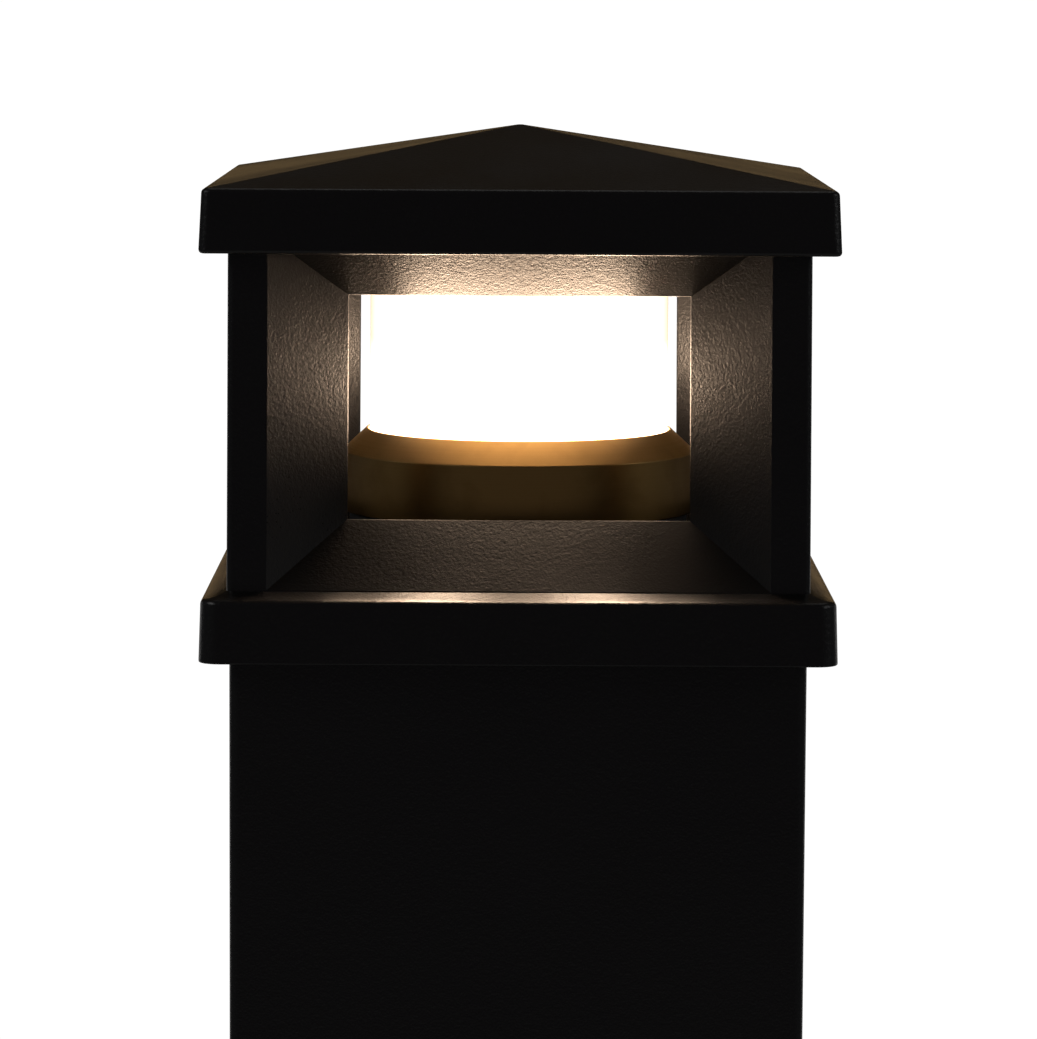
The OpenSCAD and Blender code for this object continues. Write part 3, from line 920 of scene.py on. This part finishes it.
@dataclass
class LanternFrame(Assembly):
    """The cast frame: four corner posts with a bevelled window on each side."""

    draft: float = 0.45 * MM
    stile_w: float = 10.3 * MM
    sill_lift: float = 0.2 * MM
    head_rail: float = 5.4 * MM
    reveal_depth: float = 21.6 * MM
    side_splay: float = 20.9 * MM
    sill_splay: float = 16.7 * MM
    corner_r: float = 1.8 * MM
    inner_r: float = 0.9 * MM
    edge_r: float = 0.6 * MM

    def build(self) -> None:
        """Make the frame."""
        low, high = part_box("lantern_frame")
        half = high.x
        window_z, window_top = low.z + self.sill_lift, high.z - self.head_rail
        casting = Bench.block("lantern_frame_casting", low, high)
        with Bench.shaping(casting):
            Bench.pick_facing(UP)
            taper = 1 - self.draft / half
            Bench.resize((taper, taper, 1), (0, 0, high.z))
            Bench.round_edges(upright, self.corner_r, 5)
            self.open_windows(window_z, window_top)
            self.line_well(window_z + self.sill_splay, window_top - self.sill_splay)
            Bench.round_edges(lambda edge: crease(edge, 60) and self.is_inner(edge), self.inner_r, 5)
            Bench.round_edges(
                lambda edge: crease(edge, 35) and edge.is_convex and not level(edge, low.z),
                self.edge_r,
                3,
            )
        Bench.face_out(casting)
        Bench.smooth(casting)
        self.fit(casting, Slot.POWDER_COAT, "lantern_frame")

    def is_inner(self, edge: Edge) -> bool:
        """Tell whether an edge runs round the inner side of a window.

        Args:
            edge: the edge.

        Returns:
            True for an inner edge.
        """
        low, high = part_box("lantern_frame")
        mid = middle(edge)
        inside = max(abs(mid.x), abs(mid.y)) < high.x - self.reveal_depth + MM
        return inside and low.z + MM < mid.z < high.z - MM

    def open_windows(self, window_z: float, window_top: float) -> None:
        """Sink a bevelled window into each side.

        Args:
            window_z: the height of a window's lower edge.
            window_top: the height of its upper edge.
        """
        low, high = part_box("lantern_frame")
        half = high.x
        turns = [math.radians(angle) for angle in QUARTERS]
        outward = [Vector((round(math.sin(turn)), -round(math.cos(turn)), 0)) for turn in turns]
        Bench.pick(
            Part.FACES,
            lambda face: any(facing(face, way) for way in outward) and face.calc_area() > half * half,
        )
        step = self.stile_w - self.corner_r
        Bench.inset(step, each=True)
        for inset_z, edge_z in ((low.z + step, window_z), (high.z - step, window_top)):
            Bench.pick(Part.EDGES, lambda edge: level(edge, inset_z, MM) and crease(edge, -1))
            bpy.ops.transform.translate(value=(0, 0, edge_z - inset_z))
        window_half = half - self.stile_w - self.draft / 2
        across = (window_half - self.side_splay + self.draft / 2) / window_half
        tall = 1 - 2 * self.sill_splay / (window_top - window_z)
        mid_z = (window_z + window_top) / 2
        for way in outward:
            Bench.pick(
                Part.FACES,
                lambda face: facing(face, way) and self.is_pane(face, window_z, window_top),
            )
            Bench.extrude(-way * self.reveal_depth)
            sideways = Vector((abs(way.y), abs(way.x), 0)) * (across - 1)
            scale = Vector((1, 1, tall)) + sideways
            Bench.resize(scale, way * (half - self.reveal_depth) + Vector((0, 0, mid_z)))
            bpy.ops.mesh.delete(type="FACE")

    def is_pane(self, face: Face, window_z: float, window_top: float) -> bool:
        """Tell whether a face fills a window."""
        heights = [vertex.co.z for vertex in face.verts]
        return abs(min(heights) - window_z) < MM and abs(max(heights) - window_top) < MM

    def line_well(self, opening_z: float, opening_top: float) -> None:
        """Join the windows' inner edges with the well in the middle.

        Args:
            opening_z: the height of the inner openings' lower edge.
            opening_top: the height of their upper edge.
        """
        low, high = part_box("lantern_frame")
        for x, y in ((1, 1), (1, -1), (-1, 1), (-1, -1)):
            Bench.pick(
                Part.EDGES,
                lambda edge: edge.is_boundary
                and upright(edge)
                and middle(edge).x * x > 0
                and middle(edge).y * y > 0,
            )
            bpy.ops.mesh.edge_face_add()
        for opening, end in ((opening_z, low.z), (opening_top, high.z)):
            Bench.pick(Part.EDGES, lambda edge: edge.is_boundary and level(edge, opening, MM))
            Bench.extrude((0, 0, end - opening))
            Bench.pick(
                Part.FACES,
                lambda face: lies_flat(face) and abs(face.calc_center_median().z - end) < MM,
            )
            bpy.ops.mesh.delete(type="ONLY_FACE")
            Bench.pick(Part.EDGES, lambda edge: edge.is_boundary and level(edge, end))
            bpy.ops.mesh.fill(use_beauty=True)


@dataclass
class Collar(Assembly):
    """The collar round the post's top: skirt, sloped ledge, deck and spigot."""

    skirt_h: float = 16.3 * MM
    draft: float = 0.5 * MM
    ledge_rise: float = 1.9 * MM
    ledge_steps: tuple[tuple[float, float], ...] = ((0.62, 0.45), (0.38, 0.55))
    deck_t: float = 6 * MM
    pocket_half: float = 75.3 * MM
    spigot_half: float = 70.7 * MM
    spigot_wall: float = 5 * MM
    corner_r: float = 5.5 * MM
    lower_edge_r: float = 2.2 * MM
    upper_edge_r: float = 1.1 * MM
    lip_r: float = 0.5 * MM
    outside_x: float = 80 * MM
    screw_r: float = 3.05 * MM
    drill_x: float = 73 * MM

    def build(self) -> None:
        """Make the collar."""
        low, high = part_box("collar")
        half, top_half = high.x, high.x - self.draft
        deck_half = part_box("lantern_frame")[1].x
        deck_under = high.z - self.deck_t
        ledge_z = high.z - self.ledge_rise
        skirt_z = ledge_z - self.skirt_h
        collar = Bench.slab("collar_casting", half, skirt_z, ledge_z)
        with Bench.shaping(collar):
            Bench.pick_facing(UP)
            Bench.resize((top_half / half, top_half / half, 1), (0, 0, ledge_z))
            for width, rise in self.ledge_steps:
                Bench.inset(width * (top_half - deck_half))
                bpy.ops.transform.translate(value=(0, 0, rise * self.ledge_rise))
            Bench.pick_facing(DOWN)
            for step, rise in (
                (half - self.pocket_half, deck_under - skirt_z),
                (self.pocket_half - self.spigot_half, low.z - deck_under),
                (self.spigot_wall, deck_under - low.z),
            ):
                Bench.inset(step)
                Bench.extrude((0, 0, rise))
            Bench.round_edges(
                lambda edge: upright(edge) and abs(middle(edge).x) > self.outside_x, self.corner_r, 8
            )
            Bench.round_edges(
                lambda edge: level(edge, ledge_z) and crease(edge, 30), self.upper_edge_r, 4
            )
            Bench.round_edges(
                lambda edge: level(edge, skirt_z)
                and abs(max(middle(edge).xy, key=abs)) > self.outside_x,
                self.lower_edge_r,
                6,
            )
            Bench.round_edges(lambda edge: crease(edge, 60) and level(edge, low.z), self.lip_r, 2)
            Bench.pick(Part.EDGES, lambda edge: level(edge, high.z) and crease(edge, 5))
            bpy.ops.mesh.mark_sharp()
        self.side_holes(collar, "collar_screws", self.screw_r, self.drill_x)
        Bench.smooth(collar)
        self.fit(collar, Slot.POWDER_COAT, "collar")


@dataclass
class Post(Assembly):
    """The square tube."""

    wall: float = 4 * MM
    corner_r: float = 3 * MM
    rim_r: float = 0.4 * MM
    screw_r: float = 4.05 * MM
    drill_x: float = 68 * MM

    def build(self) -> None:
        """Make the post."""
        low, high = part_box("post")
        tube = Bench.block("post_tube", low, high)
        with Bench.shaping(tube):
            Bench.round_edges(upright, self.corner_r, 8)
            Bench.pick(Part.FACES, lies_flat)
            bpy.ops.mesh.delete(type="FACE")
        Bench.apply(tube, "SOLIDIFY", {"thickness": self.wall, "offset": -1, "use_even_offset": True})
        with Bench.shaping(tube):
            Bench.round_edges(
                lambda edge: crease(edge, 60) and (level(edge, low.z) or level(edge, high.z)),
                self.rim_r,
                2,
            )
        self.side_holes(tube, "base_screws", self.screw_r, self.drill_x)
        Bench.smooth(tube)
        self.fit(tube, Slot.POWDER_COAT, "post")


@dataclass
class LensStack(Assembly):
    """The brass ring, the opal tube and the cover that clamps it."""

    rim_w: float = 7.0 * MM
    cone_h: float = 6.1 * MM
    web_t: float = 4 * MM
    web_r: float = 16.5 * MM
    lens_wall: float = 3 * MM
    shoulder_h: float = 4 * MM
    rod_r: float = 3.1 * MM
    crisp_r: float = 0.35 * MM

    def build(self) -> None:
        """Make the three round pieces."""
        self.fit(self.ring(), Slot.BRASS_RING, "lens_ring")
        self.fit(self.tube(), Slot.OPAL_LENS, "lens_tube")
        self.fit(self.cover(), Slot.BARE_ALUMINIUM, "lens_cover")

    def ring(self) -> Piece:
        """Turn the brass ring, with its conical rim.

        Returns:
            The ring.
        """
        low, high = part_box("lens_ring")
        outer = high.x
        bore = outer - self.rim_w
        outline = [
            (self.web_r, low.z),
            (outer, low.z),
            (outer, high.z - self.cone_h),
            (bore + 0.5 * MM, high.z),
            (bore, high.z),
            (bore, low.z + self.web_t),
            (self.web_r, low.z + self.web_t),
        ]
        return Bench.spun("lens_ring_turned", outline, self.crisp_r, 192)

    def tube(self) -> Piece:
        """Turn the opal tube.

        Returns:
            The tube.
        """
        low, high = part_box("lens_tube")
        outer = high.x
        inner = outer - self.lens_wall
        outline = [(inner, low.z), (outer, low.z), (outer, high.z), (inner, high.z)]
        return Bench.spun("lens_tube_opal", outline, self.crisp_r, 160)

    def cover(self) -> Piece:
        """Turn the cover, with its shoulder inside the tube and its lip outside.

        Returns:
            The cover.
        """
        low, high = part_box("lens_cover")
        tube_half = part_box("lens_tube")[1].x
        step_z = low.z + self.shoulder_h
        gap = 0.5 * MM
        outline = [
            (self.rod_r, low.z),
            (tube_half - self.lens_wall - gap, low.z),
            (tube_half - self.lens_wall - gap, step_z),
            (tube_half + gap, step_z),
            (tube_half + gap, low.z),
            (high.x, low.z),
            (high.x, high.z),
            (self.rod_r, high.z),
        ]
        return Bench.spun("lens_cover_turned", outline, self.crisp_r, 128)


@dataclass
class Gear(Assembly):
    """Pieces that keep their CAD shape, with their edges rounded."""

    rounded: tuple[tuple[str, Slot, float], ...] = ()

    def build(self) -> None:
        """Round the edges of each node and dress it."""
        for node, slot, radius in self.rounded:
            self.fit(Bench.softened(node, radius), slot, node)


# ---- Studio ----


@dataclass(frozen=True)
class Panel:
    """A glowing panel in the lens behind a window, which lights only some pieces."""

    name: str
    reach: tuple[str, ...]
    watts: float
    lift: float
    rise: float
    width_share: float = 1.5
    height_share: float = 0.36
    depth_share: float = 0.95


@dataclass(frozen=True)
class Softbox:
    """A square soft light that looks at the lantern, and lights every piece or only some."""

    name: str
    place: tuple[float, float, float]
    size: float
    watts: float
    colour: Colour = (1.0, 1.0, 1.0)
    only: tuple[str, ...] = ()


PANELS = (
    Panel("window_panel", ("lantern_frame_casting", "roof_cap_casting"), 0.105, 30.0, 3 * MM),
    Panel("ledge_panel", ("collar_casting",), 0.26, 0.0, -6 * MM),
)
EDGE_LIT = ("post_tube", "collar_casting", "lantern_frame_casting")
PANEL_SHADES = ("lantern_frame_casting", "roof_cap_casting", "collar_casting", "lens_ring_turned")
FLOOR = "pale_floor"
SOFTBOXES = (
    Softbox("key_light", (-1.9, -0.9, 2.0), 1.2, 7),
    Softbox("fill_light", (2.0, -0.7, 1.6), 1.2, 4),
    Softbox("top_light", (0.2, 0.9, 2.6), 1.2, 2),
    Softbox("rim_light", (0.0, 3.6, 0.5), 1.6, 4.2, (1.0, 0.66, 0.3)),
    Softbox("floor_light", (-0.6, -0.4, 3.6), 3.0, 150, only=(FLOOR,)),
    Softbox("edge_light_-1", (-1.6, 2.2, 0.35), 1.4, 2.5, only=EDGE_LIT),
    Softbox("edge_light_1", (1.6, 2.2, 0.35), 1.4, 2.5, only=EDGE_LIT),
)


@dataclass
class Studio:
    """The pale floor, the white backdrop, the soft lights and the camera."""

    floor_r: float = 2.2
    white: float = 1.05
    backdrop_r: float = 9.0
    focal_mm: float = 170.5
    camera_above_apex: float = 0.03897
    camera_distance: float = 1.3383
    camera_x: float = -0.00285
    pitch: float = 6.265
    yaw: float = -0.125
    roll: float = 0.307
    front_glow: Colour = (0.055, 0.05, 0.054)
    back_glow: Colour = (0.026, 0.0175, 0.0095)
    side_glow: Colour = (0.055, 0.055, 0.058)
    floor_glow: Colour = (0.15, 0.148, 0.145)
    back_band: tuple[float, float] = (-0.6, 0.6)
    side_band: tuple[float, float] = (0.45, 0.9)
    floor_band: tuple[float, float] = (-0.22, -0.5)
    fade_band: tuple[float, float] = (0.3, 0.95)
    aim_share: float = 0.8

    def build(self) -> None:
        """Make the studio."""
        self.floor()
        self.backdrop()
        self.world()
        for box in SOFTBOXES:
            self.softbox(box)
        for panel in PANELS:
            for angle in QUARTERS:
                self.hang(panel, angle)
        self.camera()

    def floor(self) -> None:
        """Lay the round pale floor, which fades into the backdrop at its edge."""
        bpy.ops.object.select_all(action="DESELECT")
        bpy.ops.mesh.primitive_circle_add(vertices=128, radius=self.floor_r, fill_type="NGON")
        floor = Bench.settle(bpy.context.object, FLOOR)
        graph = Graph("pale_floor_paint")
        cloud = graph.noise(0.18, 3.0)
        x, y, _ = graph.split(graph.place())
        far = graph.band((x * x + y * y) ** 0.5, *(share * self.floor_r for share in self.fade_band))
        pale = graph.tint(cloud, (0.78, 0.77, 0.75), (0.72, 0.71, 0.69))
        floor.data.materials.append(graph.finish({
            "Base Color": graph.tint(far, pale, (0.0, 0.0, 0.0)),
            "Roughness": cloud * 0.1 + 0.6,
            "Emission Color": graph.tint(far, (0.0, 0.0, 0.0), (1.0, 1.0, 1.0)),
            "Emission Strength": self.white,
        }))
        floor.visible_diffuse = False
        floor.visible_glossy = False

    def backdrop(self) -> None:
        """Hang a white backdrop all round, which lights nothing."""
        bpy.ops.object.select_all(action="DESELECT")
        bpy.ops.mesh.primitive_uv_sphere_add(segments=48, ring_count=24, radius=self.backdrop_r)
        backdrop = Bench.settle(bpy.context.object, "white_backdrop")
        graph = Graph("white_backdrop_cloth")
        backdrop.data.materials.append(graph.finish({
            "Base Color": (0.0, 0.0, 0.0),
            "Specular IOR Level": 0.0,
            "Emission Color": (1.0, 1.0, 1.0),
            "Emission Strength": self.white,
        }))
        for kind in ("diffuse", "glossy", "transmission", "volume_scatter", "shadow"):
            setattr(backdrop, f"visible_{kind}", False)

    def world(self) -> None:
        """Fill the studio with a faint light, warmer behind and brighter from the sides and below."""
        world = bpy.data.worlds.new("studio")
        sky = Sky(world)
        x, y, z = sky.split(sky.node("ShaderNodeTexCoord", {}, {}, "Generated"))
        aside = sky.node("ShaderNodeMath", {"operation": "ABSOLUTE"}, {0: x})
        glow = self.front_glow
        for towards, (start, end), colour in (
            (y, self.back_band, self.back_glow),
            (aside, self.side_band, self.side_glow),
            (z, self.floor_band, self.floor_glow),
        ):
            glow = sky.tint(sky.band(towards, start, end), glow, colour)
        sky.join(glow, sky.shader.inputs["Color"])
        bpy.context.scene.world = world
        bpy.context.scene.view_settings.view_transform = "Standard"

    @staticmethod
    def lamp(name: str, width: float, height: float, watts: float, colour: Colour) -> Piece:
        """Add an area light that the camera does not see.

        Args:
            name: the light's name.
            width: the width of its face.
            height: the height of its face.
            watts: its power.
            colour: its colour.

        Returns:
            The light, at the origin.
        """
        light = bpy.data.lights.new(name, "AREA")
        light.shape = "RECTANGLE"
        light.size, light.size_y = width, height
        light.energy = watts
        light.color = colour
        lamp = bpy.data.objects.new(name, light)
        bpy.context.scene.collection.objects.link(lamp)
        lamp.visible_camera = False
        return lamp

    def hang(self, panel: Panel, angle: float) -> None:
        """Hang a glowing panel inside the lens.

        Args:
            panel: the panel, tilted up by its lift in degrees.
            angle: its window's turn round the post, in degrees.
        """
        low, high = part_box("lens_tube")
        name = f"{panel.name}_{angle}"
        width, height = panel.width_share * high.x, panel.height_share * (high.z - low.z)
        lamp = self.lamp(name, width, height, panel.watts, OpalLens.glow)
        outward = Matrix.Rotation(math.radians(angle), 3, "Z") @ Vector((0, -1, 0))
        lift = math.radians(panel.lift)
        centre = Vector((0, 0, (low.z + high.z) / 2 + panel.rise))
        lamp.location = outward * high.x * panel.depth_share + centre
        aim = outward * math.cos(lift) + Vector((0, 0, math.sin(lift)))
        lamp.rotation_euler = aim.to_track_quat("-Z", "Y").to_euler()
        lamp.light_linking.receiver_collection = self.group(f"{name}_reach", panel.reach)
        lamp.light_linking.blocker_collection = self.group(f"{name}_shade", PANEL_SHADES)

    @staticmethod
    def group(name: str, pieces: Sequence[str]) -> bpy.types.Collection:
        """Gather some pieces, for a light to reach or to be shaded by.

        Args:
            name: the collection's name.
            pieces: the pieces' names.

        Returns:
            The new collection.
        """
        collection = bpy.data.collections.new(name)
        for piece in pieces:
            collection.objects.link(bpy.data.objects[piece])
        return collection

    def softbox(self, box: Softbox) -> None:
        """Hang a soft light.

        Args:
            box: the light.
        """
        lamp = self.lamp(box.name, box.size, box.size, box.watts, box.colour)
        target = Vector((0, 0, CAD_BOUNDS[1].z * self.aim_share))
        lamp.location = box.place
        lamp.rotation_euler = (target - Vector(box.place)).to_track_quat("-Z", "Y").to_euler()
        if box.only:
            lamp.light_linking.receiver_collection = self.group(f"{box.name}_reach", box.only)

    def camera(self) -> None:
        """Set up the camera in front of the lantern."""
        data = bpy.data.cameras.new("camera")
        data.lens = self.focal_mm
        data.clip_end = 4 * self.backdrop_r
        camera = bpy.data.objects.new("camera", data)
        bpy.context.scene.collection.objects.link(camera)
        bpy.context.scene.camera = camera
        turn = (
            Matrix.Rotation(math.radians(self.yaw), 4, "Z")
            @ Matrix.Rotation(math.radians(90 - self.pitch), 4, "X")
            @ Matrix.Rotation(math.radians(self.roll), 4, "Z")
        )
        height = CAD_BOUNDS[1].z + self.camera_above_apex
        place = Matrix.Translation((self.camera_x, -self.camera_distance, height))
        camera.matrix_world = place @ turn


ANCHOR_GEAR = (
    ("anchor_base", Slot.POWDER_COAT, 0.6 * MM),
    ("earth_stud", Slot.BRASS_HARDWARE, 0.3 * MM),
)
HEAD_GEAR = (
    ("heat_sink", Slot.BARE_ALUMINIUM, 0.25 * MM),
    ("driver_bracket", Slot.BARE_ALUMINIUM, 0.4 * MM),
    ("led_driver", Slot.DRIVER_CASE, 0.8 * MM),
    ("terminal_block", Slot.TERMINAL, 0.5 * MM),
    ("surge_protector", Slot.SURGE, 0.5 * MM),
    ("tie_nuts", Slot.STAINLESS, 0.3 * MM),
)


def main() -> None:
    """Build the bollard and its studio."""
    logging.basicConfig(level=logging.INFO, format="%(message)s")
    shop = Paintshop()
    shop.coat_nodes()
    for assembly in (
        RoofCap(shop, Body.CAP),
        LanternFrame(shop, Body.HEAD),
        Collar(shop, Body.HEAD),
        LensStack(shop, Body.HEAD),
        Post(shop, Body.POST),
        Gear(shop, Body.ANCHOR, ANCHOR_GEAR),
        Gear(shop, Body.HEAD, HEAD_GEAR),
    ):
        assembly.build()
    Studio().build()


if __name__ == "__main__":
    main()
